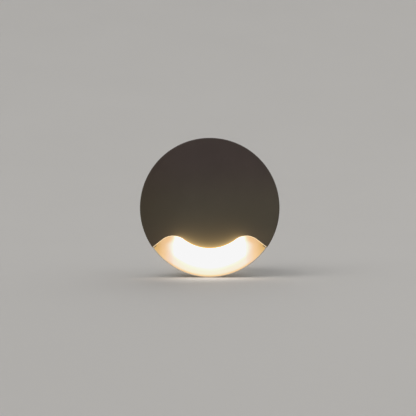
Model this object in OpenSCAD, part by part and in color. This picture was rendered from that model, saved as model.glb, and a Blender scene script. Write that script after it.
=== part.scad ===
// Round recessed wall light with a curved light opening at the foot of its cover.
// X is to the right, Y goes into the wall, Z is up. The origin is the centre of the
// sealing face, in the plane of the wall. Lengths are in millimetres.

/* [Front cover] */
// Diameter of the round front cover
cover_d = 80; // [76:0.5:90]
// How far the cover's face stands in front of the wall
cover_rise = 11.5; // [11:0.1:14]
// Thickness of the cover's front plate
plate_t = 2; // [1.6:0.1:2]
// Thickness of the cover's side wall
skirt_t = 1.7; // [1.2:0.1:2]
// Small bevel round the cover's front edge
edge_bevel = 0.6; // [0.2:0.1:1]

/* [Light opening] */
// Depth of the brow's lowest point below the centre
brow_drop = 23.4; // [22.4:0.1:24]
// Distance from the centre line to the top of each side lobe
lobe_x = 20.9; // [19.5:0.1:22]
// Depth of the lobes' highest point below the centre
lobe_top = 16.3; // [15.5:0.1:17]
// Radius of each side lobe
lobe_r = 9.8; // [9:0.1:10.6]
// Slope of the straight flanks that run out to the rim, in degrees
flank_slope = 38; // [35:0.5:40]

/* [Housing] */
// Diameter of the locating collar that enters the wall
collar_d = 67; // [66:0.1:67]
// Length of the locating collar behind the wall's face
collar_l = 4.5; // [4:0.1:5]
// Diameter over the housing's rear ring; the cooling fins stay 0.4 mm inside it
fin_d = 64; // [62:0.5:64]
// Thickness of one cooling fin
fin_t = 1.3; // [1:0.1:1.8]
// Angle between neighbouring fins, in degrees
fin_step = 7.5; // [7.5:2.5:15]
// Depth of the housing's rear face behind the wall's face
body_depth = 33.4; // [33.4:0.1:36]

/* [Light engine] */
// Number of LEDs on each side of the middle one
leds_each_side = 3; // [1:1:3]
// Angle between neighbouring LEDs, in degrees
led_step = 15; // [12:1:15]
// Radius of the row of LEDs
led_row_r = 23.6; // [22.5:0.1:24]

/* [Spring clips] */
// Rest angle of each arm away from the light's axis, in degrees
clip_rest = 20; // [12:1:20]
// Length of the arm's plate
clip_l = 17.6; // [15:0.1:17.6]
// Half the width of the arm
clip_w = 7.4; // [6:0.2:7.4]
// Wire diameter of the torsion springs
wire_d = 0.9; // [0.7:0.05:0.9]

/* [Cable gland] */
// Diameter of the cable that the gland takes
cable_d = 6.8; // [5:0.1:7]
// Width across the flats of the gland's hexagons
gland_af = 15; // [14:0.5:17]

/* [Hidden] */
$fn = 64;
R = cover_d / 2;
flange_r = R + 0.6;                 // the flange stands out a little beyond the cover
lip_r = flange_r - 0.5;             // outer edge of the diffuser in the light opening
y_face = -cover_rise;               // cover's front face
y_plate = y_face + plate_t;         // back of the cover's front plate
y_seat = -2.8;                      // front of the housing's flange
y_foot = y_seat - 0.3;              // foot of the cover's side wall
y_flange = -0.8;                    // back of the housing's flange
floor_y = 4;                        // floor of the light well
bay_y = 6.5;                        // front of the driver bay under the well
front_y = 1.2;                      // front of the driver bay above the well
bay_r = 27.5;                       // radius of the driver bay
bay_x = 25.2;                       // half width of the driver bay
flat_x = 27.2;                      // flats that carry the clip brackets
flat_z = 11.6;                      // half height of those flats
lead_y = 2.45;                      // where the LED leads pass into the well
well_top = -8;                      // upper wall of the light well
cap_y = body_depth + 0.6;           // front of the rear cap
cap_t = 2.6;
cap_back = cap_y + cap_t;
board_y = 10;                       // front of the driver board
board_t = 1.6;
top_y = board_y + board_t;          // side of the board that carries the components
hex_r = gland_af / 2 / cos(30);
magnet_at = [[-22, 15], [22, 15]];
dowel_at = [[-31, 6], [31, 6]];
lens_screw_at = [[-16, -0.8], [16, -0.8]];
post_at = [[-18, 16], [18, 16], [-18, -16], [18, -16]];
cap_screw_r = 29.4;
cap_screw_angles = [90, 210, 330];
hinge = [30.4, 24];                 // hinge line of the right clip, in X and Y
rivet_y = [17.4, 28.6];
rivet_z = [-6, 6];
cheek_z = 8;                        // inner faces of the bracket's cheeks

// ---------- helpers ----------
// a flat outline in X and Z, made solid from y0 to y1
module slab(y0, y1) translate([0, y1, 0]) rotate([90, 0, 0]) linear_extrude(height = y1 - y0) children();
// an outline of radius and Y, turned about the light's axis
module turned() rotate([-90, 0, 0]) rotate_extrude() children();
// a round bar along Y
module rod(x, z, r, y0, y1) translate([x, y0, z]) rotate([-90, 0, 0]) cylinder(r = r, h = y1 - y0);
// a round bar along X
module bar_x(y, z, r, x0, x1) translate([x0, y, z]) rotate([0, 90, 0]) cylinder(r = r, h = x1 - x0);
module box(x0, x1, y0, y1, z0, z1) translate([x0, y0, z0]) cube([x1 - x0, y1 - y0, z1 - z0]);
module hexbar(r, y0, y1) translate([0, y0, 0]) rotate([-90, 0, 0]) cylinder(r = r, h = y1 - y0, $fn = 6);
// everything of a circle of radius r that lies under height z
module d_shape(r, z) intersection() { circle(r = r); translate([-r - 1, z - 2 * r - 2]) square([2 * r + 2, 2 * r + 2]); }
module both_sides() { children(); mirror([1, 0, 0]) children(); }
function arc(cx, cz, r, a0, a1, n) = [for (i = [0:n]) let (a = a0 + (a1 - a0) * i / n) [cx + r * cos(a), cz + r * sin(a)]];
function unit(v) = v / norm(v);
function tangent(p, i) = unit(p[min(i + 1, len(p) - 1)] - p[max(i - 1, 0)]);
// a round tube along a path; up is never in line with the path
module tube(path, r, up, sides = 8) {
    n = len(path);
    ring = [for (i = [0:n - 1]) let (t = tangent(path, i), s = unit(cross(t, up)), u = cross(s, t))
        for (k = [0:sides - 1]) path[i] + r * (cos(360 * k / sides) * s + sin(360 * k / sides) * u)];
    polyhedron(points = ring, faces = concat(
        [[for (k = [0:sides - 1]) k]],
        [for (i = [0:n - 2]) for (k = [0:sides - 1]) for (half = [0, 1])
            let (a = i * sides + k, b = i * sides + (k + 1) % sides)
            half == 0 ? [a, a + sides, b + sides] : [a, b + sides, b]],
        [[for (k = [sides - 1:-1:0]) (n - 1) * sides + k]]), convexity = 8);
}
// a slotted or crossed screw along Y whose head faces towards -Y
module screw(x, z, head_r, head_h, shank_r, y_under, length, toward = -1) {
    difference() {
        union() {
            rod(x, z, head_r, toward < 0 ? y_under - head_h : y_under, toward < 0 ? y_under : y_under + head_h);
            rod(x, z, shank_r, toward < 0 ? y_under - 0.1 : y_under - length, toward < 0 ? y_under + length : y_under + 0.1);
        }
        for (a = [0, 90]) translate([x, toward < 0 ? y_under - head_h : y_under + head_h, z]) rotate([0, a, 0])
            cube([head_r * 1.25, head_h * 1.1, head_r * 0.28], center = true);
    }
}

// ---------- light opening ----------
// The brow is an arc about brow_c; each lobe is an arc that meets it with a common tangent, and a straight
// flank leaves the lobe and runs out to the rim.
lobe_z = -(lobe_top + lobe_r);
brow_c = (lobe_x * lobe_x + lobe_z * lobe_z - pow(brow_drop + lobe_r, 2)) / (2 * (brow_drop + lobe_r + lobe_z));
brow_r = brow_c + brow_drop;
meet = atan2(lobe_z - brow_c, lobe_x);
flank_start = [lobe_x + lobe_r * sin(flank_slope), lobe_z + lobe_r * cos(flank_slope)];
flank_end = [60, flank_start[1] - (60 - flank_start[0]) * tan(flank_slope)];
opening_outline = concat(
    [flank_end],
    arc(lobe_x, lobe_z, lobe_r, 90 - flank_slope, meet + 180, 18),
    [for (p = arc(0, brow_c, brow_r, meet, -180 - meet, 30)) if (abs(p[0]) < brow_r * cos(meet) - 0.2) p],
    arc(-lobe_x, lobe_z, lobe_r, -meet, 90 + flank_slope, 18),
    [[-flank_end[0], flank_end[1]], [-60, -90], [60, -90]]);
// everything that lies under both flanks, clear of them by gap
module under_flanks(gap) {
    top = flank_start[1] + flank_start[0] * tan(flank_slope) - gap / cos(flank_slope);
    polygon([[0, top], [60, top - 60 * tan(flank_slope)], [60, -90], [-60, -90], [-60, top - 60 * tan(flank_slope)]]);
}

// ---------- front cover ----------
module front_cover() color("#8f8a84") difference() {
    union() {
        turned() polygon([[0, y_face], [R - edge_bevel, y_face], [R, y_face + edge_bevel], [R, y_foot],
            [R - skirt_t, y_foot], [R - skirt_t, y_plate], [0, y_plate]]);
        // rings that hold the magnets
        for (p = magnet_at) difference() {
            rod(p[0], p[1], 5.2, y_plate - 0.5, y_plate + 2.5);
            rod(p[0], p[1], 4.05, y_plate, y_plate + 3);
        }
        // dowels that keep the opening at the bottom
        for (p = dowel_at) {
            rod(p[0], p[1], 2.6, y_plate - 0.5, y_plate + 2);
            rod(p[0], p[1], 1.5, y_plate, -1.4);
        }
    }
    slab(y_face - 1, y_foot + 1) polygon(opening_outline);
}
module cover_magnets() color("silver") for (p = magnet_at) rod(p[0], p[1], 4, y_plate, y_plate + 3);

// ---------- housing ----------
module bay_outline(inset = 0) intersection() {
    circle(r = bay_r - inset);
    square([2 * (bay_x - inset), 2 * bay_r], center = true);
}
module rear_outline(inset = 0) difference() {
    circle(r = fin_d / 2 - inset);
    for (s = [-1, 1]) translate([s * (flat_x - inset + 10), 0]) square([20, 2 * (flat_z + inset)], center = true);
}
module housing() color("#a7a9ab") {
    difference() {
        union() {
            turned() polygon([[0, y_seat], [flange_r - 0.3, y_seat], [flange_r, y_seat + 0.3], [flange_r, y_flange], [34.3, y_flange],
                [34.3, -0.3], [collar_d / 2, -0.3], [collar_d / 2, collar_l - 0.5], [collar_d / 2 - 0.5, collar_l],
                [29.5, collar_l], [29.5, 28.4], [fin_d / 2, 29], [fin_d / 2, body_depth], [0, body_depth]]);
            // cooling fins, above and below the clips
            for (side = [0, 180]) for (a = [30:fin_step:150]) rotate([0, a + side, 0])
                box(28.5, fin_d / 2 - 0.4, 7, 29.5, -fin_t / 2, fin_t / 2);
            // bosses round the cap's screws, tapered in front
            for (a = cap_screw_angles) {
                rod(cap_screw_r * cos(a), cap_screw_r * sin(a), 2.5, 19, 29.5);
                translate([cap_screw_r * cos(a), 16, cap_screw_r * sin(a)]) rotate([-90, 0, 0]) cylinder(r1 = 0.8, r2 = 2.5, h = 3);
            }
        }
        // driver bay
        slab(bay_y, body_depth + 1) bay_outline();
        slab(front_y, bay_y + 0.1) intersection() {
            bay_outline();
            translate([-30, well_top + 2]) square([60, 60]);
        }
        // light well, flared towards the diffuser
        intersection() {
            turned() polygon([[0, y_seat - 0.2], [34.8, y_seat - 0.2], [34.6, y_seat], [27.6, floor_y], [0, floor_y]]);
            box(-40, 40, -5, 10, -40, well_top);
        }
        // groove for the diffuser's seal
        slab(y_seat - 1, y_seat + 1) difference() { d_shape(37.4, -3.9); d_shape(35.6, -5.7); }
        // flats for the clip brackets
        both_sides() box(flat_x, 45, 12, body_depth + 1, -flat_z, flat_z);
        both_sides() for (y = rivet_y) for (z = rivet_z) bar_x(y, z, 1.25, 20, 30);
        // sockets for the cover's dowels, and screw holes
        for (p = dowel_at) rod(p[0], p[1], 1.6, y_seat - 1, -1.1);
        for (p = magnet_at) rod(p[0], p[1], 1.25, y_seat - 1, 0.4);
        for (p = lens_screw_at) rod(p[0], p[1], 1.05, y_seat - 1, 0.4);
        for (a = [-150, -30]) rod(led_row_r * cos(a), led_row_r * sin(a), 1.05, floor_y - 1, bay_y - 0.5);
        for (a = cap_screw_angles) rod(cap_screw_r * cos(a), cap_screw_r * sin(a), 1.25, body_depth - 9, body_depth + 1);
        // ways through for the two LED leads
        for (x = [-2.5, 2.5]) translate([x, lead_y, well_top - 1]) cylinder(r = 1.15, h = 3.5);
    }
    // posts that carry the driver board
    for (p = post_at) difference() {
        rod(p[0], p[1], 2.6, p[1] > 0 ? front_y - 0.2 : bay_y - 0.2, board_y);
        rod(p[0], p[1], 1.05, board_y - 3, board_y + 1);
    }
}
module wall_gasket() color("#2b2b2b") slab(y_flange, 0) difference() { circle(r = R - 0.8); circle(r = 34.4); }

// ---------- diffuser and what holds it ----------
module diffuser() color("#fff1d6") difference() {
    union() {
        intersection() {
            turned() polygon([[0, y_seat], [38, y_seat], [38, y_seat - 0.6], [22.6, -9.1], [0, -9.1]]);
            box(-40, 40, -12, 0, -40, -3.5);
        }
        // lip that takes the light out to the rim, between the two ends of the cover's side wall
        intersection() {
            turned() polygon([[36, y_seat], [lip_r, y_seat], [lip_r - 0.2, y_seat - 0.6], [36, y_seat - 0.6]]);
            slab(-12, 0) under_flanks(0.5);
        }
        for (p = lens_screw_at) {
            box(p[0] - 3.6, p[0] + 3.6, y_seat - 1.6, y_seat, -4.5, p[1]);
            rod(p[0], p[1], 3.6, y_seat - 1.6, y_seat);
        }
    }
    intersection() {
        turned() polygon([[0, y_seat + 1], [34, y_seat + 1], [34, y_seat], [22, -7.1], [0, -7.1]]);
        box(-40, 40, -12, 0, -40, -5.9);
    }
    for (p = lens_screw_at) rod(p[0], p[1], 1.5, y_seat - 3, y_seat + 1);
}
module diffuser_gasket() color("#d9d9d9") slab(y_seat, y_seat + 1)
    difference() { d_shape(37.4, -3.9); d_shape(35.6, -5.7); }
module diffuser_screws() color("silver") for (p = lens_screw_at) screw(p[0], p[1], 2.3, 1.4, 1, y_seat - 1.6, 4.6);

// steel discs that the cover's magnets hold on to
module magnet_keepers() color("silver") for (p = magnet_at) difference() {
    rod(p[0], p[1], 4.5, y_plate + 3.3, y_seat);
    rod(p[0], p[1], 1.5, y_plate + 2, y_seat + 1);
    translate([p[0], y_plate + 3.3 - 0.01, p[1]]) rotate([-90, 0, 0]) cylinder(r1 = 2.8, r2 = 1.5, h = 1.3);
}
module keeper_screws() color("#c9c9c9") for (p = magnet_at) difference() {
    union() {
        translate([p[0], y_plate + 3.4, p[1]]) rotate([-90, 0, 0]) cylinder(r1 = 2.6, r2 = 1.25, h = 1.3);
        rod(p[0], p[1], 1.2, y_plate + 4.5, 0.2);
    }
    translate([p[0], y_plate + 3, p[1]]) rotate([-90, 0, 0]) cylinder(r = 1.1, h = 1.2, $fn = 6);
}

// ---------- light engine ----------
led_angles = [for (i = [-leds_each_side:leds_each_side]) -90 + i * led_step];
module sector(r, half) polygon(concat([[0, 0]], arc(0, 0, r, -90 - half, -90 + half, 12)));
module engine_outline(grow = 0) {
    difference() {
        intersection() { circle(r = 27 + grow); sector(60, 66); }
        circle(r = 20.2 - grow);
    }
    translate([-5, -21]) square([10, 11.6]);
}
module thermal_pad() color("#b9c4cc") slab(floor_y - 0.3, floor_y) difference() {
    engine_outline();
    for (a = [-150, -30]) translate([led_row_r * cos(a), led_row_r * sin(a)]) circle(r = 1.3);
}
module led_board() color("#f2f2ee") slab(floor_y - 1.3, floor_y - 0.3) difference() {
    engine_outline();
    for (a = [-150, -30]) translate([led_row_r * cos(a), led_row_r * sin(a)]) circle(r = 1.3);
}
module led_packages() color("#f4d35e") for (a = led_angles) translate([led_row_r * cos(a), 0, led_row_r * sin(a)])
    rotate([0, -a - 90, 0]) difference() {
        box(-1.75, 1.75, floor_y - 2, floor_y - 1.3, -1.4, 1.4);
        translate([0, floor_y - 2.1, 0]) rotate([-90, 0, 0]) cylinder(r = 1.1, h = 0.3);
    }
module led_board_screws() color("silver") for (a = [-150, -30])
    screw(led_row_r * cos(a), led_row_r * sin(a), 2, 1, 1, floor_y - 1.3, 3.2);
// white tray that lines the well: a floor with a window over each LED, and a flared wall
module reflector() color("white") difference() {
    intersection() {
        turned() polygon([[0, y_seat + 0.2], [34.2, y_seat + 0.2], [29.2, floor_y - 2.4], [29.2, floor_y - 2.4],
            [0, floor_y - 2.4]]);
        box(-40, 40, -5, 10, -40, well_top - 0.3);
    }
    intersection() {
        turned() polygon([[0, y_seat - 1], [33.6, y_seat - 1], [33.2, y_seat + 0.2], [28.2, floor_y - 3.2], [0, floor_y - 3.2]]);
        box(-40, 40, -6, 10, -40, well_top - 1.3);
    }
    for (a = led_angles) translate([led_row_r * cos(a), floor_y - 4, led_row_r * sin(a)]) rotate([-90, 0, 0])
        cylinder(r = 2.6, h = 3);
}
function lead(x) = concat(
    [for (y = [board_y, 8.5, 7, 5.6]) [x, y, -1]],
    [for (a = [15:15:90]) [x, 5.6 - (5.6 - lead_y) * sin(a), -4.2 + 3.2 * cos(a)]],
    [[x, lead_y, -6], [x, lead_y, -7.9], [x, 2.25, -8.7], [x, 2.15, -9.3], [x, 2.15, -11]]);
module led_wire_red() color("#b3261e") tube(lead(-2.5), 0.5, [1, 0, 0]);
module led_wire_black() color("#1c1c1c") tube(lead(2.5), 0.5, [1, 0, 0]);
module wire_grommets() color("#5a5a5a") for (x = [-2.5, 2.5]) translate([x, lead_y, well_top]) difference() {
    cylinder(r = 1.12, h = 2);
    translate([0, 0, -1]) cylinder(r = 0.55, h = 4);
}

// ---------- driver ----------
module driver_board() color("#2f6b3c") slab(board_y, top_y) difference() {
    bay_outline(1);
    for (p = post_at) translate(p) circle(r = 1.4);
}
module driver_board_screws() color("silver") for (p = post_at) screw(p[0], p[1], 2.2, 1.4, 1, top_y, 4.4, 1);
module transformer() color("#e0b93a") {
    difference() {
        box(1, 17, top_y + 1.2, top_y + 12.2, -11.5, 1.5);
        for (z = [-12, -0.3]) box(4.2, 13.8, top_y + 3.6, top_y + 9.8, z, z + 2.3);
    }
    box(0.4, 17.6, top_y, top_y + 1.3, -12, 2);
    for (x = [0, 16.4]) box(x, x + 1.6, top_y + 1.2, top_y + 3, -11, 1);
}
module capacitor(x, z, r, h) difference() {
    union() {
        rod(x, z, r, top_y, top_y + 1.6);
        rod(x, z, r - 0.35, top_y + 1.5, top_y + 2.3);
        rod(x, z, r, top_y + 2.2, top_y + h);
    }
    for (a = [0, 60, 120]) translate([x, top_y + h, z]) rotate([0, a, 0]) cube([2 * r - 2.4, 0.7, 0.4], center = true);
}
module bulk_capacitor() color("#27364d") capacitor(-12, -9, 5, 16);
module output_capacitor() color("#27364d") capacitor(-2, -18, 4, 12);
module film_capacitor() color("#c9a227") difference() {
    box(-19.5, -6.5, top_y, top_y + 12, 4, 10);
    for (x = [-18.4, -8.6]) box(x, x + 1, top_y - 1, top_y + 0.5, 3, 11);
}
module input_choke() color("#8a4a22") {
    for (y = [top_y, top_y + 7]) rod(14, 8, 4.5, y, y + 1.2);
    for (i = [0:5]) rod(14, 8, i % 2 == 0 ? 3.9 : 3.6, top_y + 1.1 + i, top_y + 2.2 + i);
}
module bridge_rectifier() color("#202020") {
    box(-20, -12, top_y + 0.6, top_y + 3.4, -3, 2);
    for (x = [-18.8, -14.4]) for (z = [-3.6, 1.8]) box(x, x + 1, top_y, top_y + 1.4, z, z + 0.8);
}
module driver_chip() color("#202020") {
    box(-7, -2, top_y + 0.2, top_y + 1.7, -6, -2);
    for (i = [0:3]) for (z = [-6.9, -2.1]) box(-6.7 + 1.27 * i, -6.3 + 1.27 * i, top_y, top_y + 0.9, z, z + 1);
}
module fuse() color("#d8d2c4") {
    bar_x(top_y + 1.9, 12.2, 1.35, -16, -10);
    for (x = [-17, -10.4]) bar_x(top_y + 1.9, 12.2, 1.6, x, x + 1.4);
}
module terminal_block() color("#3f6f52") difference() {
    union() {
        box(-7.6, 7.6, top_y, top_y + 10.5, 14, 21.6);
        box(-7.6, 7.6, top_y, top_y + 3.5, 13.2, 14.1);
    }
    for (x = [-5, 0, 5]) {
        rod(x, 17.4, 2, top_y + 5.5, top_y + 11);
        box(x - 1.7, x + 1.7, top_y + 1.2, top_y + 5, 18, 22);
    }
}
module terminal_screws() color("silver") for (x = [-5, 0, 5]) difference() {
    rod(x, 17.4, 1.85, top_y + 5.5, top_y + 9.6);
    translate([x, top_y + 9.6, 17.4]) cube([5, 1.4, 0.6], center = true);
}

// ---------- rear cap and cable gland ----------
module rear_cap_gasket() color("#2b2b2b") slab(body_depth, cap_y) difference() {
    rear_outline(0.25);
    bay_outline(-0.1);
    for (a = cap_screw_angles) translate([cap_screw_r * cos(a), cap_screw_r * sin(a)]) circle(r = 1.6);
}
module rear_cap() color("#262728") difference() {
    union() {
        slab(cap_y, cap_back) rear_outline();
        slab(cap_y - 2.6, cap_y + 0.1) difference() { bay_outline(0.3); bay_outline(1.9); }
        rod(0, 0, 10, cap_back - 0.1, cap_back + 0.9);
        for (a = [30:60:330]) rotate([0, a, 0]) box(9, 24.5, cap_back - 0.1, cap_back + 0.7, -0.6, 0.6);
        // low lip round the edge, open at the screws
        slab(cap_back - 0.1, cap_back + 0.5) difference() {
            rear_outline(0.7);
            rear_outline(1.8);
            for (a = cap_screw_angles) translate([cap_screw_r * cos(a), cap_screw_r * sin(a)]) circle(r = 3);
        }
    }
    rod(0, 0, 6.1, cap_y - 1, cap_back + 2);
    for (a = cap_screw_angles) {
        rod(cap_screw_r * cos(a), cap_screw_r * sin(a), 1.6, cap_y - 1, cap_back + 1);
    }
}
module rear_cap_screws() color("silver") for (a = cap_screw_angles)
    screw(cap_screw_r * cos(a), cap_screw_r * sin(a), 2.4, 1.8, 1.2, cap_back, 10, 1);
gland_y = cap_back + 0.9;
module gland_washer() color("#1c1c1c") slab(gland_y, gland_y + 0.8) difference() { circle(r = 8); circle(r = 6.1); }
module gland_body() color("#2d2e30") difference() {
    union() {
        rod(0, 0, 6, cap_y - 3.6, gland_y + 1);
        intersection() {
            hexbar(hex_r, gland_y + 0.8, gland_y + 5.8);
            turned() polygon([[0, gland_y + 0.8], [7.9, gland_y + 0.8], [hex_r, gland_y + 1.3], [hex_r, gland_y + 5.3],
                [7.9, gland_y + 5.8], [0, gland_y + 5.8]]);
        }
        rod(0, 0, 6, gland_y + 5.7, gland_y + 11.5);
        // fingers that the nut squeezes on to the seal
        difference() {
            rod(0, 0, 5.6, gland_y + 11.4, gland_y + 14);
            for (a = [0:30:150]) rotate([0, a, 0]) box(-7, 7, gland_y + 11.6, gland_y + 15, -0.35, 0.35);
        }
    }
    rod(0, 0, 3.9, cap_y - 5, gland_y + 7);
    rod(0, 0, 4.7, gland_y + 6.9, gland_y + 15);
}
module gland_locknut() color("#2d2e30") difference() {
    hexbar(hex_r, cap_y - 3.2, cap_y - 0.1);
    rod(0, 0, 6.05, cap_y - 4, cap_y + 1);
}
module gland_seal() color("#3c3c3e") difference() {
    rod(0, 0, 4.65, gland_y + 7.1, gland_y + 14.2);
    rod(0, 0, cable_d / 2, gland_y + 6, gland_y + 16);
}
module gland_nut() color("#2d2e30") difference() {
    union() {
        intersection() {
            hexbar(hex_r, gland_y + 6.4, gland_y + 13);
            turned() polygon([[0, gland_y + 6.4], [7.9, gland_y + 6.4], [hex_r, gland_y + 6.9], [hex_r, gland_y + 11.7],
                [7, gland_y + 13], [0, gland_y + 13]]);
        }
        turned() polygon([[0, gland_y + 10], [7.3, gland_y + 10], [7.3, gland_y + 13.4], [6.6, gland_y + 15.4],
            [5.2, gland_y + 16.8], [0, gland_y + 16.8]]);
    }
    rod(0, 0, 6.05, gland_y + 6, gland_y + 14.4);
    rod(0, 0, cable_d / 2 + 0.8, gland_y + 14, gland_y + 18);
}

// ---------- spring clips ----------
module bracket_right() difference() {
    union() {
        box(flat_x, flat_x + 0.8, 15, 31, -9.4, 9.4);
        for (s = [-1, 1]) {
            box(flat_x + 0.1, hinge[0] - 0.5, 19.6, 27, s > 0 ? cheek_z : -cheek_z - 0.8, s > 0 ? cheek_z + 0.8 : -cheek_z);
            translate([hinge[0] - 0.5, 23.4, s > 0 ? cheek_z : -cheek_z - 0.8]) cylinder(r = 2, h = 0.8);
            // stop for the arm, bent in from the cheek
            box(hinge[0] - 1.4, hinge[0] + 0.9, 19.6, 20.4, s > 0 ? 5.4 : -cheek_z - 0.8, s > 0 ? cheek_z + 0.8 : -5.4);
        }
    }
    translate([hinge[0], hinge[1], -20]) cylinder(r = 0.8, h = 40);
    for (y = rivet_y) for (z = rivet_z) bar_x(y, z, 1.25, 20, 30);
}
module rivets_right() for (y = rivet_y) for (z = rivet_z) {
    bar_x(y, z, 1.2, bay_x - 0.1, flat_x + 0.9);
    bar_x(y, z, 1.8, flat_x + 0.8, flat_x + 1.5);
    bar_x(y, z, 1.7, bay_x - 0.6, bay_x);
}
module pin_right() translate([hinge[0], hinge[1], 0]) {
    translate([0, 0, -cheek_z - 0.9]) cylinder(r = 0.75, h = 2 * cheek_z + 1.8);
    for (z = [-cheek_z - 1.4, cheek_z + 0.9]) translate([0, 0, z]) cylinder(r = 1.2, h = 0.5);
}
arm_t = 0.9;                        // thickness of the arm's plate
module at_clip() translate([hinge[0], hinge[1], 0]) rotate([0, 0, clip_rest]) children();
module arm_right() at_clip() difference() {
    union() {
        box(0, arm_t, -clip_l, 0, -clip_w, clip_w);
        for (z = [-clip_w, clip_w - 2.2]) translate([0, 0, z]) cylinder(r = 1.7, h = 2.2);
        // stiffening bead
        translate([arm_t - 0.1, -6, 0]) rotate([90, 0, 0]) cylinder(r = 0.8, h = 7);
    }
    box(-3, 3, -4, 3, -clip_w + 2.2, clip_w - 2.2);
    translate([0, 0, -10]) cylinder(r = 0.84, h = 20);
}
module pad_right() at_clip() translate([0, 17.6 - clip_l, 0]) difference() {
    translate([0, 0, -clip_w - 0.6]) linear_extrude(height = 2 * clip_w + 1.2) polygon([[-1, -18.5], [-0.5, -19.2],
        [1.4, -19.2], [1.9, -18.5], [1.9, -14.8], [1.4, -14.2], [-0.5, -14.2], [-1, -14.8]]);
    box(-0.05, arm_t + 0.05, -17.65, -10, -clip_w - 0.05, clip_w + 0.05);
}
coil_r = 1.45;
coil_turns = 5;
coil_z = 3.1;
leg_x = arm_t + wire_d / 2 + 0.05;
function on_arm(q) = [hinge[0] + q[0] * cos(clip_rest) - q[1] * sin(clip_rest),
    hinge[1] + q[0] * sin(clip_rest) + q[1] * cos(clip_rest), coil_z];
function spring_path() = let (a_end = clip_rest - 360 * coil_turns, n = 10 * coil_turns) concat(
    [[28.55, 18, -coil_z], [28.6, 20, -coil_z], [28.8, 22.2, -coil_z]],
    [for (i = [0:n]) let (a = 180 + (a_end - 180) * i / n)
        [hinge[0] + coil_r * cos(a), hinge[1] + coil_r * sin(a), -coil_z + 2 * coil_z * i / n]],
    [for (q = [[leg_x + 0.02, -2], [leg_x, -4], [leg_x, -7], [leg_x, -10]]) on_arm(q)]);
module spring_right() tube(spring_path(), wire_d / 2, [0, 0, 1]);

module clip_bracket_right() color("#b8babd") bracket_right();
module clip_bracket_left() color("#b8babd") mirror([1, 0, 0]) bracket_right();
module bracket_rivets() color("#c4c6c8") both_sides() rivets_right();
module clip_pin_right() color("#8d9094") pin_right();
module clip_pin_left() color("#8d9094") mirror([1, 0, 0]) pin_right();
module clip_spring_right() color("#9a9da1") spring_right();
module clip_spring_left() color("#9a9da1") mirror([1, 0, 0]) spring_right();
module clip_arm_right() color("#b8babd") arm_right();
module clip_arm_left() color("#b8babd") mirror([1, 0, 0]) arm_right();
module clip_pad_right() color("#303030") pad_right();
module clip_pad_left() color("#303030") mirror([1, 0, 0]) pad_right();

front_cover();
cover_magnets();
housing();
wall_gasket();
diffuser();
diffuser_gasket();
diffuser_screws();
magnet_keepers();
keeper_screws();
reflector();
led_board();
led_packages();
thermal_pad();
led_board_screws();
led_wire_red();
led_wire_black();
wire_grommets();
driver_board();
driver_board_screws();
transformer();
bulk_capacitor();
output_capacitor();
film_capacitor();
input_choke();
bridge_rectifier();
driver_chip();
fuse();
terminal_block();
terminal_screws();
rear_cap();
rear_cap_gasket();
rear_cap_screws();
gland_washer();
gland_body();
gland_locknut();
gland_seal();
gland_nut();
clip_bracket_left();
clip_bracket_right();
bracket_rivets();
clip_pin_left();
clip_pin_right();
clip_spring_left();
clip_spring_right();
clip_arm_left();
clip_arm_right();
clip_pad_left();
clip_pad_right();
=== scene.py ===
import math

import bmesh
import bpy
from mathutils import Matrix, Vector


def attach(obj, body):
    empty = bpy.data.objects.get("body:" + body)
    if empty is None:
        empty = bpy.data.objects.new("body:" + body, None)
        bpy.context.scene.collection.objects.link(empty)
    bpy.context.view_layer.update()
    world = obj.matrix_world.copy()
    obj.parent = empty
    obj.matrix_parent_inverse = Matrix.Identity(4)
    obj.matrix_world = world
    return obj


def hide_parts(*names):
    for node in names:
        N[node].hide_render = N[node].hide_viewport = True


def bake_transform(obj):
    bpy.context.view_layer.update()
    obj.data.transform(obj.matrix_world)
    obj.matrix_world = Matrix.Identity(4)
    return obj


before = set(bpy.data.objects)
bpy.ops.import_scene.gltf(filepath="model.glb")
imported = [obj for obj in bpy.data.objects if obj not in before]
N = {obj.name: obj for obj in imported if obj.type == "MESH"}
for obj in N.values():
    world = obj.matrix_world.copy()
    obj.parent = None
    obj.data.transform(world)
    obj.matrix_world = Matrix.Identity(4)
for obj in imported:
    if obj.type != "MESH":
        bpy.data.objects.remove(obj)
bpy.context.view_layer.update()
MM = 0.001
SC = bpy.context.scene


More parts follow.
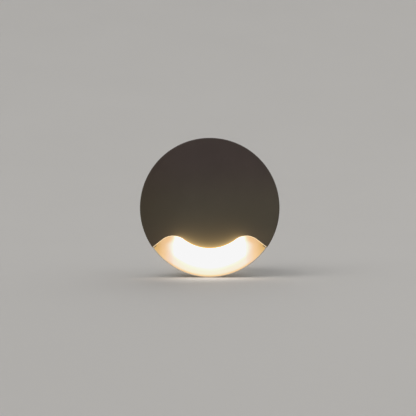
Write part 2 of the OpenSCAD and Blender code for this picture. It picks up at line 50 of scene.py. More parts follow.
# ---------------------------------------------------------------- node helpers
class Tree:
    """A material and short ways to add and join its nodes."""

    def __init__(self, name):
        self.mat = bpy.data.materials.new(name)
        self.mat.use_nodes = True
        self.nt = self.mat.node_tree
        self.nt.nodes.clear()
        self.out = self.nt.nodes.new("ShaderNodeOutputMaterial")
        self.bsdf = self.nt.nodes.new("ShaderNodeBsdfPrincipled")
        self.nt.links.new(self.bsdf.outputs[0], self.out.inputs[0])
        self.co = self.nt.nodes.new("ShaderNodeTexCoord").outputs["Object"]

    def link(self, a, b):
        self.nt.links.new(a, b)

    def put(self, kind, inputs=None, **props):
        n = self.nt.nodes.new(kind)
        for k, v in props.items():
            setattr(n, k, v)
        for k, v in (inputs or {}).items():
            if hasattr(v, "is_output"):
                self.link(v, n.inputs[k])
            else:
                n.inputs[k].default_value = v
        return n

    def stretched(self, x=1, y=1, z=1, turn=(0, 0, 0)):
        return self.put("ShaderNodeMapping", {"Vector": self.co, "Scale": (x, y, z), "Rotation": turn}).outputs[0]

    def noise(self, scale, detail=3, rough=0.55, co=None, distortion=0.0):
        return self.put("ShaderNodeTexNoise", {"Vector": co or self.co, "Scale": scale, "Detail": detail,
                        "Roughness": rough, "Distortion": distortion}).outputs["Fac"]

    def cells(self, scale, co=None, feature="F1", out="Distance"):
        return self.put("ShaderNodeTexVoronoi", {"Vector": co or self.co, "Scale": scale}, feature=feature).outputs[out]

    def ramp(self, fac, stops, ease="LINEAR"):
        n = self.put("ShaderNodeValToRGB", {"Fac": fac})
        n.color_ramp.interpolation = ease
        el = n.color_ramp.elements
        while len(el) < len(stops):
            el.new(0.5)
        for e, (p, c) in zip(el, stops):
            e.position = p
            e.color = c if len(c) == 4 else (*c, 1)
        return n.outputs[0]

    def math(self, op, a, b=0.0, clamp=False):
        n = self.put("ShaderNodeMath", operation=op, use_clamp=clamp)
        for i, v in enumerate((a, b)):
            if hasattr(v, "is_output"):
                self.link(v, n.inputs[i])
            else:
                n.inputs[i].default_value = v
        return n.outputs[0]

    def mix(self, fac, a, b, blend="MIX"):
        n = self.put("ShaderNodeMix", data_type="RGBA", blend_type=blend)
        for key, v in ((0, fac), (6, a), (7, b)):
            if hasattr(v, "is_output"):
                self.link(v, n.inputs[key])
            else:
                n.inputs[key].default_value = v if key == 0 else (*v, 1)
        return n.outputs[2]

    def smooth(self, value, lo, hi, to_lo=0.0, to_hi=1.0):
        return self.put("ShaderNodeMapRange", {"Value": value, "From Min": lo, "From Max": hi, "To Min": to_lo,
                        "To Max": to_hi}, interpolation_type="SMOOTHSTEP").outputs[0]

    def axes(self):
        n = self.put("ShaderNodeSeparateXYZ", {"Vector": self.co})
        return n.outputs

    def bump(self, height, strength=0.3, distance=0.00005, normal=None):
        ins = {"Height": height, "Strength": strength, "Distance": distance}
        if normal:
            ins["Normal"] = normal
        return self.put("ShaderNodeBump", ins).outputs[0]

    def set(self, **kw):
        for k, v in kw.items():
            s = self.bsdf.inputs[k.replace("_", " ")]
            if hasattr(v, "is_output"):
                self.link(v, s)
            else:
                s.default_value = (*v, 1) if isinstance(v, tuple) and len(v) == 3 else v
        return self

    def value_range(self, fac, lo, hi):
        return self.put("ShaderNodeMapRange", {"Value": fac, "To Min": lo, "To Max": hi}).outputs[0]


def tint(c, f):
    return tuple(min(1.0, max(0.0, v * f)) for v in c)


# ---------------------------------------------------------------- materials
def powder_coat(name, base, rough=(0.52, 0.68), grain=2600, depth=0.00004, warm=None, cast=False):
    """Baked powder paint: a fine even grain, a slight orange peel, and a faint drift of tone."""
    t = Tree(name)
    fine = t.noise(grain, 2, 0.5)
    peel = t.noise(420, 2, 0.5)
    drift = t.noise(38, 3, 0.6)
    speck = t.cells(grain * 0.55)
    tone = t.ramp(drift, [(0.30, tint(base, 0.94)), (0.70, tint(base, 1.06))])
    tone = t.mix(t.smooth(speck, 0.0, 0.35, 0.16, 0.0), tone, tint(base, 1.5))
    tone = t.mix(t.smooth(fine, 0.30, 0.48, 0.20, 0.0), tone, tint(base, 0.62))
    h = t.math("ADD", t.math("MULTIPLY", fine, 0.75), t.math("MULTIPLY", peel, 0.9))
    n = t.bump(h, 0.55, depth)
    if cast:
        n = t.bump(t.noise(130, 4, 0.6), 0.25, 0.00012, n)
    t.set(Base_Color=tone, Roughness=t.value_range(fine, *rough), Normal=n)
    t.bsdf.inputs["Specular IOR Level"].default_value = 0.42
    return t.mat


def cover_coat_with_painted_light(name, base, upper):
    """The cover's powder coat with painted light: tone gradients across its face stand for how light falls on it, and
    the light-coloured edge that frames the light opening has a painted highlight and a painted glow.
    """
    t = Tree(name)
    x, y, z = t.axes()
    fine = t.noise(2600, 2, 0.5)
    peel = t.noise(420, 2, 0.5)
    drift = t.noise(38, 3, 0.6)
    speck = t.cells(1430)
    # painted light and shade: the lower part is lighter and warmer than the darker, redder top, the left side is
    # darker, and the face is lighter beside the opening's lobes and at the lower right
    coat_and_painted_light = t.mix(t.smooth(z, -0.004, 0.030), base, upper)
    coat_and_painted_light = t.mix(t.smooth(x, -0.008, -0.046), coat_and_painted_light, (0.80, 0.72, 0.60), "MULTIPLY")
    ax = t.math("ABSOLUTE", x)
    coat_and_painted_light = t.mix(t.math("MULTIPLY", t.smooth(ax, 0.012, 0.024), t.smooth(z, -0.009, -0.018)), coat_and_painted_light, (1.15, 1.11, 1.14), "MULTIPLY")
    coat_and_painted_light = t.mix(t.math("MULTIPLY", t.smooth(x, 0.020, 0.034), t.smooth(z, -0.009, -0.019)), coat_and_painted_light, (1.14, 1.14, 1.08), "MULTIPLY")
    tone = t.mix(t.ramp(drift, [(0.30, (0, 0, 0)), (0.70, (1, 1, 1))]), t.mix(0.06, coat_and_painted_light, (0.0, 0.0, 0.0)),
                 t.mix(0.006, coat_and_painted_light, (1.0, 0.9, 0.8)))
    tone = t.mix(t.smooth(speck, 0.0, 0.35, 0.14, 0.0), tone, tint(base, 1.5))
    tone = t.mix(t.smooth(fine, 0.30, 0.48, 0.18, 0.0), tone, tint(base, 0.66))
    # painted highlight and painted glow on the edge of the opening: faces that look down, behind the front face and
    # inside the rim
    r = t.math("SQRT", t.math("ADD", t.math("MULTIPLY", x, x), t.math("MULTIPLY", z, z)))
    down = t.put("ShaderNodeSeparateXYZ", {"Vector": t.put("ShaderNodeNewGeometry").outputs["True Normal"]}).outputs[2]
    aside = t.smooth(ax, 0.0135, 0.0225)
    down = t.math("ADD", down, t.math("MULTIPLY", aside, 0.2))
    edge = t.math("MULTIPLY", t.smooth(down, -0.10, -0.25, 0.0, 1.0), t.smooth(r, 0.0396, 0.0391, 0.0, 1.0))
    edge = t.math("MULTIPLY", edge, t.smooth(y, -0.0089, -0.0091, 0.0, 1.0))
    edge = t.math("MULTIPLY", edge, t.smooth(z, -0.0125, -0.0130, 0.0, 1.0))
    lines = t.noise(1500, 3, 0.6)
    # painted highlight: a warm light colour on that edge, darker and more orange at the brow, lighter toward the lobes
    painted_edge_highlight = t.mix(aside, t.mix(lines, (0.30, 0.17, 0.06), (0.38, 0.23, 0.09)), t.mix(lines, (0.74, 0.62, 0.44), (0.84, 0.72, 0.54)))
    tone = t.mix(edge, tone, painted_edge_highlight)
    # painted glow: the same edge emits warm light of its own, orange at the brow, with a strength set from the edge
    # mask below
    painted_edge_glow = t.mix(aside, (0.36, 0.12, 0.02), (1.0, 0.70, 0.36))
    h = t.math("ADD", t.math("MULTIPLY", fine, 0.75), t.math("MULTIPLY", peel, 0.9))
    t.set(Base_Color=tone, Roughness=t.value_range(fine, 0.52, 0.68), Normal=t.bump(h, 0.55, 0.00004),
          Emission_Color=painted_edge_glow, Emission_Strength=t.math("MULTIPLY", edge, t.value_range(lines, 0.62, 0.74)))
    t.bsdf.inputs["Specular IOR Level"].default_value = 0.40
    return t.mat


def opal(name):
    """Opal diffuser, lit from behind: white in front of the LEDs, warmer at both ends and along the rim."""
    t = Tree(name)
    x, y, z = t.axes()
    ax = t.math("ABSOLUTE", x)
    r = t.math("SQRT", t.math("ADD", t.math("MULTIPLY", x, x), t.math("MULTIPLY", z, z)))
    level = t.smooth(r, 0.0290, 0.0355, 2.0, 0.72)
    level = t.math("MINIMUM", level, t.smooth(ax, 0.0139, 0.0221, 2.0, 0.68))
    # the ends' warm tone reaches further in along the tops of both lobes
    aside = t.math("ADD", ax, t.smooth(z, -0.0218, -0.0175, 0.0, 0.0032))
    glow = t.mix(t.smooth(aside, 0.0209, 0.0269), (1.0, 1.0, 1.0), (1.0, 0.64, 0.335))
    glow = t.mix(t.smooth(ax, 0.0262, 0.0314), glow, (0.84, 0.78, 0.44), "MULTIPLY")
    # the warm rim fades out toward both ends
    middle = t.smooth(ax, 0.0221, 0.0262, 1.0, 0.0)
    outer = t.math("ADD", r, t.math("MULTIPLY", ax, 0.07))
    glow = t.mix(t.math("MULTIPLY", t.smooth(outer, 0.0345, 0.0378), middle), glow, (1.0, 0.83, 0.76), "MULTIPLY")
    glow = t.mix(t.math("MULTIPLY", t.smooth(r, 0.0383, 0.0406), middle), glow, (1.0, 0.66, 0.15), "MULTIPLY")
    # the faces that look up, behind the cover, stay dark
    up = t.put("ShaderNodeSeparateXYZ", {"Vector": t.put("ShaderNodeNewGeometry").outputs["True Normal"]}).outputs[2]
    level = t.math("MULTIPLY", level, t.smooth(up, 0.35, 0.60, 1.0, 0.08))
    mottle = t.value_range(t.noise(900, 2, 0.5), 0.985, 1.015)
    drift = t.value_range(t.noise(110, 3, 0.5), 0.97, 1.03)
    fine = t.noise(3200, 2, 0.5)
    t.set(Base_Color=t.mix(t.noise(60, 2), (0.34, 0.27, 0.17), (0.39, 0.31, 0.20)),
          Roughness=t.value_range(fine, 0.34, 0.46), Normal=t.bump(fine, 0.2, 0.00002),
          Emission_Color=glow, Emission_Strength=t.math("MULTIPLY", t.math("MULTIPLY", mottle, drift), level))
    t.bsdf.inputs["Specular IOR Level"].default_value = 0.3
    return t.mat


def plastic(name, base, rough=(0.36, 0.52), grain=1500, depth=0.00003, strength=0.4, spec=0.5):
    """Moulded plastic with a spark-eroded grain."""
    t = Tree(name)
    a = t.noise(grain, 3, 0.6)
    b = t.noise(55, 3, 0.6)
    tone = t.ramp(b, [(0.3, tint(base, 0.86)), (0.7, tint(base, 1.16))])
    tone = t.mix(t.smooth(a, 0.5, 0.75, 0.0, 0.25), tone, tint(base, 1.6))
    t.set(Base_Color=tone, Roughness=t.value_range(a, *rough), Normal=t.bump(a, strength, depth))
    t.bsdf.inputs["Specular IOR Level"].default_value = spec
    return t.mat


def rubber(name, base, grain=1800, depth=0.00005, rough=(0.68, 0.86), pores=0.0):
    t = Tree(name)
    a = t.noise(grain, 3, 0.65)
    dust = t.noise(70, 4, 0.6)
    tone = t.mix(t.smooth(dust, 0.5, 0.8, 0.0, 0.35), base, tint(tuple(v + 0.03 for v in base), 1.7))
    h = a
    if pores:
        cells = t.cells(1700)
        tone = t.mix(t.smooth(cells, 0.05, 0.30, pores, 0.0), tone, tint(base, 0.3))
        h = t.math("ADD", t.math("MULTIPLY", a, 0.4), t.smooth(cells, 0.05, 0.35))
    t.set(Base_Color=tone, Roughness=t.value_range(a, *rough), Normal=t.bump(h, 0.5, depth))
    t.bsdf.inputs["Specular IOR Level"].default_value = 0.3
    return t.mat


def steel(name, base=(0.56, 0.56, 0.55), along=(1, 1, 60), rough=(0.26, 0.44), scale=90, marks=0.25):
    """Rolled or drawn metal: fine lines along the grain, faint handling marks."""
    t = Tree(name)
    lines = t.noise(scale, 4, 0.7, co=t.stretched(*along))
    cloud = t.noise(80, 4, 0.6)
    tone = t.ramp(lines, [(0.30, tint(base, 0.78)), (0.70, tint(base, 1.15))])
    tone = t.mix(t.smooth(cloud, 0.5, 0.8, 0.0, marks), tone, tint(base, 0.62))
    rg = t.math("ADD", t.value_range(lines, *rough), t.math("MULTIPLY", t.smooth(cloud, 0.45, 0.8), 0.12))
    t.set(Base_Color=tone, Metallic=1.0, Roughness=rg, Normal=t.bump(lines, 0.25, 0.00002))
    return t.mat


def cast_metal(name, base=(0.60, 0.60, 0.60)):
    t = Tree(name)
    a = t.noise(900, 4, 0.6)
    b = t.noise(60, 4, 0.6)
    tone = t.ramp(b, [(0.3, tint(base, 0.85)), (0.7, tint(base, 1.1))])
    t.set(Base_Color=tone, Metallic=1.0, Roughness=t.value_range(a, 0.34, 0.5), Normal=t.bump(a, 0.3, 0.00003))
    return t.mat


def circuit_board(name, base, light, trace_scale=170, offset=(0, 0, 0)):
    """Solder mask with copper tracks showing faintly through it."""
    t = Tree(name)
    x, y, z = t.axes()
    flat = t.put("ShaderNodeCombineXYZ", {"X": x, "Y": z, "Z": 0.0}).outputs[0]
    edge = t.cells(trace_scale, co=flat, feature="DISTANCE_TO_EDGE")
    tracks = t.smooth(edge, 0.03, 0.06, 1.0, 0.0)
    pads = t.smooth(t.cells(trace_scale * 2.2, co=flat), 0.10, 0.13, 1.0, 0.0)
    weave = t.noise(2200, 2, co=flat)
    tone = t.mix(t.math("MULTIPLY", tracks, 0.7), base, light)
    tone = t.mix(t.math("MULTIPLY", pads, 0.9), tone, (0.72, 0.70, 0.64))
    h = t.math("ADD", t.math("MULTIPLY", tracks, 0.6), t.math("MULTIPLY", weave, 0.15))
    t.set(Base_Color=tone, Roughness=t.value_range(weave, 0.28, 0.4), Normal=t.bump(h, 0.4, 0.00004))
    return t.mat


def winding(name, base, pitch=2600, axis="Y"):
    """Enamelled wire, or tape, wound round an axis."""
    t = Tree(name)
    w = t.put("ShaderNodeTexWave", {"Vector": t.co, "Scale": pitch, "Distortion": 0.6, "Detail": 1.0, "Detail Scale": 400.0},
              wave_type="BANDS", bands_direction=axis, wave_profile="SIN").outputs["Fac"]
    tone = t.ramp(w, [(0.05, tint(base, 0.45)), (0.6, base), (1.0, tint(base, 1.3))])
    t.set(Base_Color=tone, Roughness=t.value_range(w, 0.4, 0.25), Normal=t.bump(w, 0.6, 0.0001))
    return t.mat


def sleeve(name, base, stripe):
    """Heat-shrunk sleeve of a capacitor with the usual plain stripe down one side."""
    t = Tree(name)
    x, y, z = t.axes()
    a = t.noise(500, 3)
    mark = t.smooth(t.math("ABSOLUTE", t.math("SUBTRACT", x, stripe)), 0.0009, 0.0011, 1.0, 0.0)
    tone = t.mix(mark, t.ramp(a, [(0.3, tint(base, 0.8)), (0.7, tint(base, 1.25))]), (0.62, 0.64, 0.66))
    t.set(Base_Color=tone, Roughness=t.value_range(a, 0.22, 0.34), Normal=t.bump(t.noise(240, 2), 0.25, 0.00006))
    t.bsdf.inputs["Coat Weight"].default_value = 0.3
    return t.mat


def led_look(name):
    """LED package: a white frame round warm phosphor, dim here because the diffuser shows the light."""
    t = Tree(name)
    x, y, z = t.axes()
    a = t.noise(2600, 3)
    deep = t.smooth(y, 0.00205, 0.00215, 0.0, 1.0)
    tone = t.mix(deep, (0.86, 0.85, 0.80), (0.90, 0.62, 0.10))
    t.set(Base_Color=t.mix(t.value_range(a, 0.0, 0.12), tone, (0.5, 0.4, 0.2)), Roughness=t.value_range(a, 0.3, 0.45),
          Normal=t.bump(a, 0.2, 0.00002), Emission_Color=(1.0, 0.78, 0.42), Emission_Strength=t.value_range(deep, 0.1, 3.0))
    return t.mat


def glass_tube(name):
    t = Tree(name)
    x, y, z = t.axes()
    a = t.noise(900, 3)
    inner = t.math("ABSOLUTE", t.math("ADD", x, 0.013))
    cap = t.smooth(inner, 0.0024, 0.0026)
    t.set(Base_Color=t.mix(cap, (0.80, 0.84, 0.82), (0.72, 0.70, 0.66)), Metallic=cap,
          Roughness=t.value_range(a, 0.08, 0.2), Normal=t.bump(a, 0.1, 0.00002))
    t.bsdf.inputs["Coat Weight"].default_value = 0.6
    return t.mat


# the cover: base colour below, darker upper colour above; the difference between them is painted light
cover_mat = cover_coat_with_painted_light("cover_powder_coat_and_painted_light", (0.083, 0.0690, 0.0455), (0.0635, 0.0440, 0.0390))
housing_mat = powder_coat("housing_powder_coat", (0.74, 0.73, 0.70), rough=(0.42, 0.58), grain=2000, cast=True)
black_pa = plastic("black_nylon", (0.018, 0.018, 0.020), rough=(0.38, 0.56), grain=1300, depth=0.00005)
stainless = steel("stainless_screw", (0.60, 0.60, 0.59), along=(1, 8, 1), scale=500)
zinc = steel("zinc_plated", (0.62, 0.63, 0.66), along=(1, 3, 1), scale=700, rough=(0.22, 0.36))
sheet_l = steel("stainless_sheet", (0.55, 0.55, 0.54), along=(1, 1, 14), scale=260, rough=(0.24, 0.42))
nickel = steel("nickel_plate", (0.66, 0.65, 0.62), along=(1, 2, 1), scale=300, rough=(0.12, 0.24), marks=0.12)
grey_silicone = rubber("grey_silicone", (0.42, 0.42, 0.41), rough=(0.5, 0.65))
black_silicone = rubber("black_silicone", (0.022, 0.022, 0.024), rough=(0.5, 0.68))
foam = rubber("foam_rubber", (0.026, 0.026, 0.028), depth=0.00012, pores=0.85)
pad_rubber = rubber("pad_rubber", (0.030, 0.030, 0.032), grain=1500, depth=0.00006)

LOOKS = {
    "front_cover": cover_mat,
    "cover_magnets": nickel,
    "housing": housing_mat,
    "wall_gasket": foam,
    "diffuser": opal("opal_diffuser"),
    "diffuser_gasket": grey_silicone,
    "diffuser_screws": stainless,
    "magnet_keepers": zinc,
    "keeper_screws": stainless,
    "reflector": plastic("white_reflector", (0.80, 0.80, 0.78), rough=(0.22, 0.34), grain=2400, depth=0.00002),
    "led_board": circuit_board("white_led_board", (0.74, 0.74, 0.72), (0.62, 0.62, 0.58), 240),
    "led_packages": led_look("led_phosphor"),
    "thermal_pad": rubber("thermal_pad", (0.22, 0.27, 0.33), rough=(0.5, 0.6)),
    "led_board_screws": stainless,
    "led_wire_red": plastic("red_silicone_lead", (0.42, 0.016, 0.012), rough=(0.34, 0.46), grain=1400, depth=0.00002),
    "led_wire_black": plastic("black_silicone_lead", (0.016, 0.016, 0.018), rough=(0.34, 0.46), grain=1400, depth=0.00002),
    "wire_grommets": grey_silicone,
    "driver_board": circuit_board("green_driver_board", (0.012, 0.085, 0.030), (0.05, 0.20, 0.07), 190),
    "driver_board_screws": zinc,
    "transformer": winding("transformer_tape", (0.62, 0.40, 0.03), 900, "Y"),
    "bulk_capacitor": sleeve("bulk_capacitor_sleeve", (0.010, 0.018, 0.050), -0.0165),
    "output_capacitor": sleeve("output_capacitor_sleeve", (0.012, 0.014, 0.018), -0.0055),
    "film_capacitor": plastic("film_capacitor_case", (0.50, 0.30, 0.03), rough=(0.18, 0.3), grain=900, depth=0.00002),
    "input_choke": winding("choke_winding", (0.36, 0.10, 0.03), 1500, "Y"),
    "bridge_rectifier": plastic("rectifier_moulding", (0.014, 0.014, 0.015), grain=2200),
    "driver_chip": plastic("chip_moulding", (0.016, 0.016, 0.017), grain=2600),
    "fuse": glass_tube("fuse_glass"),
    "terminal_block": plastic("terminal_block", (0.03, 0.16, 0.07), rough=(0.3, 0.44), grain=1400),
    "terminal_screws": nickel,
    "rear_cap": black_pa,
    "rear_cap_gasket": black_silicone,
    "rear_cap_screws": stainless,
    "gland_washer": black_silicone,
    "gland_body": black_pa,
    "gland_locknut": black_pa,
    "gland_seal": black_silicone,
    "gland_nut": black_pa,
    "clip_bracket_left": sheet_l,
    "clip_bracket_right": sheet_l,
    "bracket_rivets": cast_metal("rivet_aluminium", (0.66, 0.66, 0.67)),
    "clip_pin_left": stainless,
    "clip_pin_right": stainless,
    "clip_spring_left": steel("spring_wire", (0.48, 0.48, 0.49), along=(1, 1, 1), scale=900, rough=(0.2, 0.34)),
    "clip_arm_left": sheet_l,
    "clip_arm_right": sheet_l,
    "clip_pad_left": pad_rubber,
    "clip_pad_right": pad_rubber,
}
LOOKS["clip_spring_right"] = LOOKS["clip_spring_left"]


def dress(o, mat):
    o.data.materials.clear()
    o.data.materials.append(mat)


# rounding of each node's outward edges, in mm
ROUND = {"front_cover": 0.20, "housing": 0.15, "diffuser": 0.25, "rear_cap": 0.16, "gland_body": 0.10, "gland_nut": 0.10,
         "gland_seal": 0.15, "wall_gasket": 0.20, "clip_pad_left": 0.25, "clip_pad_right": 0.25, "clip_arm_left": 0.18,
         "clip_arm_right": 0.18, "clip_bracket_left": 0.12, "clip_bracket_right": 0.12, "transformer": 0.12,
         "film_capacitor": 0.25, "bulk_capacitor": 0.12, "output_capacitor": 0.12, "cover_magnets": 0.2}
WIDER = {"front_cover": (60, 0.60)}     # square edges that are rounded more, before the others


def outward_edges(angle):
    """Modifier nodes that give a bevel weight to the edges that stand out by more than the angle."""
    g = bpy.data.node_groups.new(f"outward_edges_{angle}", "GeometryNodeTree")
    for way in ("INPUT", "OUTPUT"):
        g.interface.new_socket("Geometry", in_out=way, socket_type="NodeSocketGeometry")
    gi, go = g.nodes.new("NodeGroupInput"), g.nodes.new("NodeGroupOutput")
    bend = g.nodes.new("GeometryNodeInputMeshEdgeAngle")
    more = g.nodes.new("FunctionNodeCompare")
    more.data_type, more.operation = "FLOAT", "GREATER_THAN"
    more.inputs[1].default_value = math.radians(angle)
    store = g.nodes.new("GeometryNodeStoreNamedAttribute")
    store.data_type, store.domain = "FLOAT", "EDGE"
    store.inputs["Name"].default_value = "bevel_weight_edge"
    g.links.new(bend.outputs["Signed Angle"], more.inputs[0])
    g.links.new(more.outputs[0], store.inputs["Value"])
    g.links.new(gi.outputs[0], store.inputs["Geometry"])
    g.links.new(store.outputs[0], go.inputs[0])
    return g


OUTWARD = {a: outward_edges(a) for a in (32, 38, 60)}


def soften(o, angle, width, segments):
    m = o.modifiers.new("outward", "NODES")
    m.node_group = OUTWARD[angle]
    b = o.modifiers.new("edges", "BEVEL")
    b.limit_method = "WEIGHT"
    b.width = width * MM
    b.segments = segments
    b.miter_outer = "MITER_SHARP"
    b.use_clamp_overlap = False


for name, o in N.items():
    dress(o, LOOKS[name])
    o.data.polygons.foreach_set("use_smooth", [True] * len(o.data.polygons))
    if name.startswith("clip_spring") or name.startswith("led_wire"):
        continue
    w = o.modifiers.new("weld", "WELD")
    w.merge_threshold = 0.000002
    d = o.modifiers.new("flat_faces", "DECIMATE")
    d.decimate_type = "DISSOLVE"
    d.angle_limit = math.radians(0.5)
    if name in WIDER:
        soften(o, *WIDER[name], 3)
    soften(o, 32 if name not in WIDER else 38, ROUND.get(name, 0.08), 2)
    n = o.modifiers.new("normals", "WEIGHTED_NORMAL")
    n.mode = "FACE_AREA"
    n.weight = 50


# ---------------------------------------------------------------- mesh helpers
def mesh_object(name, verts, faces, mat, smooth=True):
    me = bpy.data.meshes.new(name)
    me.from_pydata([tuple(v) for v in verts], [], faces)
    me.validate()
    me.update()
    me.polygons.foreach_set("use_smooth", [smooth] * len(me.polygons))
    o = bpy.data.objects.new(name, me)
    SC.collection.objects.link(o)
    me.materials.append(mat)
    return o


def tube(name, pts, radius, mat, sides=16, up=Vector((0, 0, 1))):
    """A closed round tube along pts, with softly rounded ends."""
    pts = [Vector(p) for p in pts]
    n = len(pts)
    rings = []
    for i in range(n):
        t = (pts[min(i + 1, n - 1)] - pts[max(i - 1, 0)]).normalized()
        s = t.cross(up).normalized()
        u = s.cross(t)
        rings.append((pts[i], t, s, u, radius))
    p, t, s, u, r = rings[0]
    head = [(p, t, s, u, r * 0.72), (p + t * (r * 0.18), t, s, u, r)]
    p2, t2, s2, u2, r2 = rings[-1]
    tail = [(p2 - t2 * (r2 * 0.18), t2, s2, u2, r2), (p2, t2, s2, u2, r2 * 0.72)]
    rings = head + rings[1:-1] + tail
    verts, faces = [], []
    for (p, t, s, u, r) in rings:
        for k in range(sides):
            a = 2 * math.pi * k / sides
            verts.append(p + (s * math.cos(a) + u * math.sin(a)) * r)
    for i in range(len(rings) - 1):
        for k in range(sides):
            a, b = i * sides + k, i * sides + (k + 1) % sides
            faces.append((a, a + sides, b + sides, b))
    faces.append(tuple(range(sides)))
    faces.append(tuple(reversed(range((len(rings) - 1) * sides, len(rings) * sides))))
    return mesh_object(name, verts, faces, mat)


def spline(points, per=8):
    """Points along a Catmull-Rom curve through points."""
    p = [Vector(q) for q in points]
    p = [p[0] * 2 - p[1]] + p + [p[-1] * 2 - p[-2]]
    out = []
    for i in range(1, len(p) - 2):
        for k in range(per):
            t = k / per
            out.append(0.5 * ((2 * p[i]) + (p[i + 1] - p[i - 1]) * t
                       + (2 * p[i - 1] - 5 * p[i] + 4 * p[i + 1] - p[i + 2]) * t * t
                       + (3 * p[i] - p[i - 1] - 3 * p[i + 1] + p[i + 2]) * t ** 3))
    out.append(p[-2])
    return out


# ---------------------------------------------------------------- torsion springs
REST = math.radians(20)
HX, HY = 30.4, 24.0
COIL_R, TURNS, COIL_Z, WIRE = 1.45, 5, 3.1, 0.45
LEG_X = 0.9 + WIRE + 0.05


def spring_points(sx):
    a_end = REST - 2 * math.pi * TURNS
    n = 40 * TURNS
    first = spline([(28.55, 18.0, -COIL_Z), (28.6, 20, -COIL_Z), (28.8, 22.2, -COIL_Z), (28.95, 23.7, -COIL_Z)], 5)
    coil = [Vector((HX + COIL_R * math.cos(math.pi + (a_end - math.pi) * i / n),
                    HY + COIL_R * math.sin(math.pi + (a_end - math.pi) * i / n), -COIL_Z + 2 * COIL_Z * i / n)) for i in range(n + 1)]
    leg = []
    for qx, qy in [(1.46, -0.8), (LEG_X + 0.02, -2), (LEG_X, -4), (LEG_X, -7), (LEG_X, -10)]:
        leg.append((HX + qx * math.cos(REST) - qy * math.sin(REST), HY + qx * math.sin(REST) + qy * math.cos(REST), COIL_Z))
    pts = first[:-1] + coil + spline(leg, 5)
    return [Vector((sx * p.x, p.y, p.z)) * MM for p in pts]


for side, sx in (("left", -1), ("right", 1)):
    s = tube(f"torsion_spring_{side}", spring_points(sx), WIRE * MM, LOOKS["clip_spring_left"], 14)
    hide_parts(f"clip_spring_{side}")
    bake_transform(s)

# ---------------------------------------------------------------- LED leads
LEAD_Y = 2.45
for colour, x in (("red", -2.5), ("black", 2.5)):
    pts = [(x, 10.0, -1), (x, 8.5, -1), (x, 7, -1), (x, 5.6, -1)]
    pts += [(x, 5.6 - (5.6 - LEAD_Y) * math.sin(math.radians(a)), -4.2 + 3.2 * math.cos(math.radians(a))) for a in range(15, 91, 15)]
    pts += [(x, LEAD_Y, -6), (x, LEAD_Y, -7.9), (x, 2.25, -8.7), (x, 2.15, -9.3), (x, 2.15, -11)]
    o = tube(f"led_lead_{colour}", [p * MM for p in spline(pts, 4)], 0.5 * MM, LOOKS[f"led_wire_{colour}"], 16, Vector((1, 0, 0)))
    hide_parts(f"led_wire_{colour}")
    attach(o, "housing")


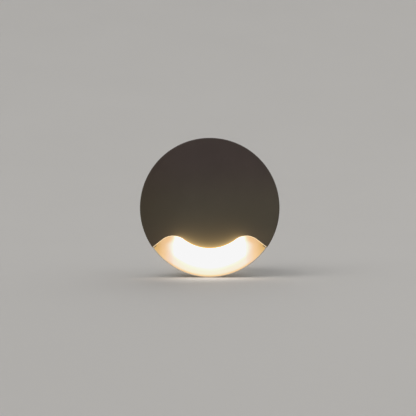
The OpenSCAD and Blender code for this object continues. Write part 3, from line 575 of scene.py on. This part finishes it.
# ---------------------------------------------------------------- floor, light and camera
def studio():
    t = Tree("pale_floor")
    grain = t.noise(4, 2)
    t.set(Base_Color=t.ramp(grain, [(0.3, (0.660, 0.650, 0.635)), (0.7, (0.670, 0.660, 0.645))]),
          Roughness=t.value_range(t.noise(160, 3), 0.80, 0.9), Normal=t.bump(t.noise(300, 3), 0.03, 0.0001))
    # only its upper side is there, so that the lamp can be looked at from below too
    clear = t.put("ShaderNodeBsdfTransparent")
    side = t.put("ShaderNodeMixShader", {0: t.put("ShaderNodeNewGeometry").outputs["Backfacing"], 1: t.bsdf.outputs[0],
                                         2: clear.outputs[0]})
    t.link(side.outputs[0], t.out.inputs[0])
    z0 = -0.0406
    # level round the lamp, then rising in one long gentle curve
    profile = [(0.0, z0), (0.12, z0), (0.25, z0)]
    profile += [(0.25 + 0.09 * i, z0 + 0.35 * (0.09 * i) ** 2 / 2.2) for i in range(1, 41)]
    seg = 96
    verts, faces = [(0, 0, z0)], []
    for r, z in profile[1:]:
        for k in range(seg):
            a = 2 * math.pi * k / seg
            verts.append((r * math.cos(a), r * math.sin(a), z))
    for k in range(seg):
        faces.append((0, 1 + k, 1 + (k + 1) % seg))
    for i in range(len(profile) - 2):
        for k in range(seg):
            a, b = 1 + i * seg + k, 1 + i * seg + (k + 1) % seg
            faces.append((a, a + seg, b + seg, b))
    floor = mesh_object("floor", verts, faces, t.mat)
    floor.visible_shadow = False

    def sun(name, toward, power, spread, colour):
        """A broad soft light from that direction."""
        li = bpy.data.lights.new(name, "SUN")
        li.angle = math.radians(spread)
        li.energy = power
        li.color = colour
        o = bpy.data.objects.new(name, li)
        SC.collection.objects.link(o)
        o.location = toward
        o.rotation_mode = "QUATERNION"
        o.rotation_quaternion = (-Vector(toward)).to_track_quat("-Z", "Y")
        return o

    sun("key", (-0.55, -0.80, 0.95), 0.95, 50, (1.0, 0.985, 0.96))
    sun("fill", (0.95, -0.35, 0.50), 0.30, 70, (0.97, 0.985, 1.0))
    sun("back", (0.30, 0.95, 0.75), 0.65, 60, (1.0, 0.99, 0.975))
    w = bpy.data.worlds.new("studio")
    SC.world = w
    w.use_nodes = True
    w.node_tree.nodes["Background"].inputs[0].default_value = (0.80, 0.79, 0.78, 1)
    w.node_tree.nodes["Background"].inputs[1].default_value = 0.30


studio()
cam_data = bpy.data.cameras.new("camera")
cam_data.sensor_width = 36
DIST = 0.490                       # camera to the cover's face
WIDE = 0.080 / 139.88 * 416        # width of the view at the cover's face
cam_data.lens = 36 * DIST / WIDE
cam = bpy.data.objects.new("camera", cam_data)
SC.collection.objects.link(cam)
cam.location = (-1.74 * WIDE / 416, -0.0115 - DIST, -0.35 * WIDE / 416)
cam.rotation_euler = (math.radians(90), 0, 0)
cam_data.clip_start, cam_data.clip_end = 0.01, 20
SC.camera = cam
SC.view_settings.view_transform = "Standard"
SC.view_settings.look = "None"
SC.view_settings.exposure = 0.0
SC.view_settings.gamma = 1.0

# a soft bloom round the lit opening
SC.use_nodes = True
nt = SC.node_tree
nt.nodes.clear()
layers = nt.nodes.new("CompositorNodeRLayers")
image = layers.outputs["Image"]
for threshold, strength, size in ((0.95, 0.72, 0.02), (0.95, 0.72, 0.14)):
    glare = nt.nodes.new("CompositorNodeGlare")
    glare.glare_type = "BLOOM"
    glare.quality = "HIGH"
    glare.inputs["Threshold"].default_value = threshold
    glare.inputs["Strength"].default_value = strength
    glare.inputs["Tint"].default_value = (1.0, 0.72, 0.31, 1)
    glare.inputs["Size"].default_value = size
    nt.links.new(image, glare.inputs["Image"])
    image = glare.outputs["Image"]
# the brightest parts stop a little short of white, as in a photograph
limit = nt.nodes.new("CompositorNodeMixRGB")
limit.blend_type = "DARKEN"
limit.inputs[0].default_value = 1.0
limit.inputs[2].default_value = (0.922, 0.922, 0.922, 1)
nt.links.new(image, limit.inputs[1])
comp = nt.nodes.new("CompositorNodeComposite")
nt.links.new(limit.outputs[0], comp.inputs["Image"])
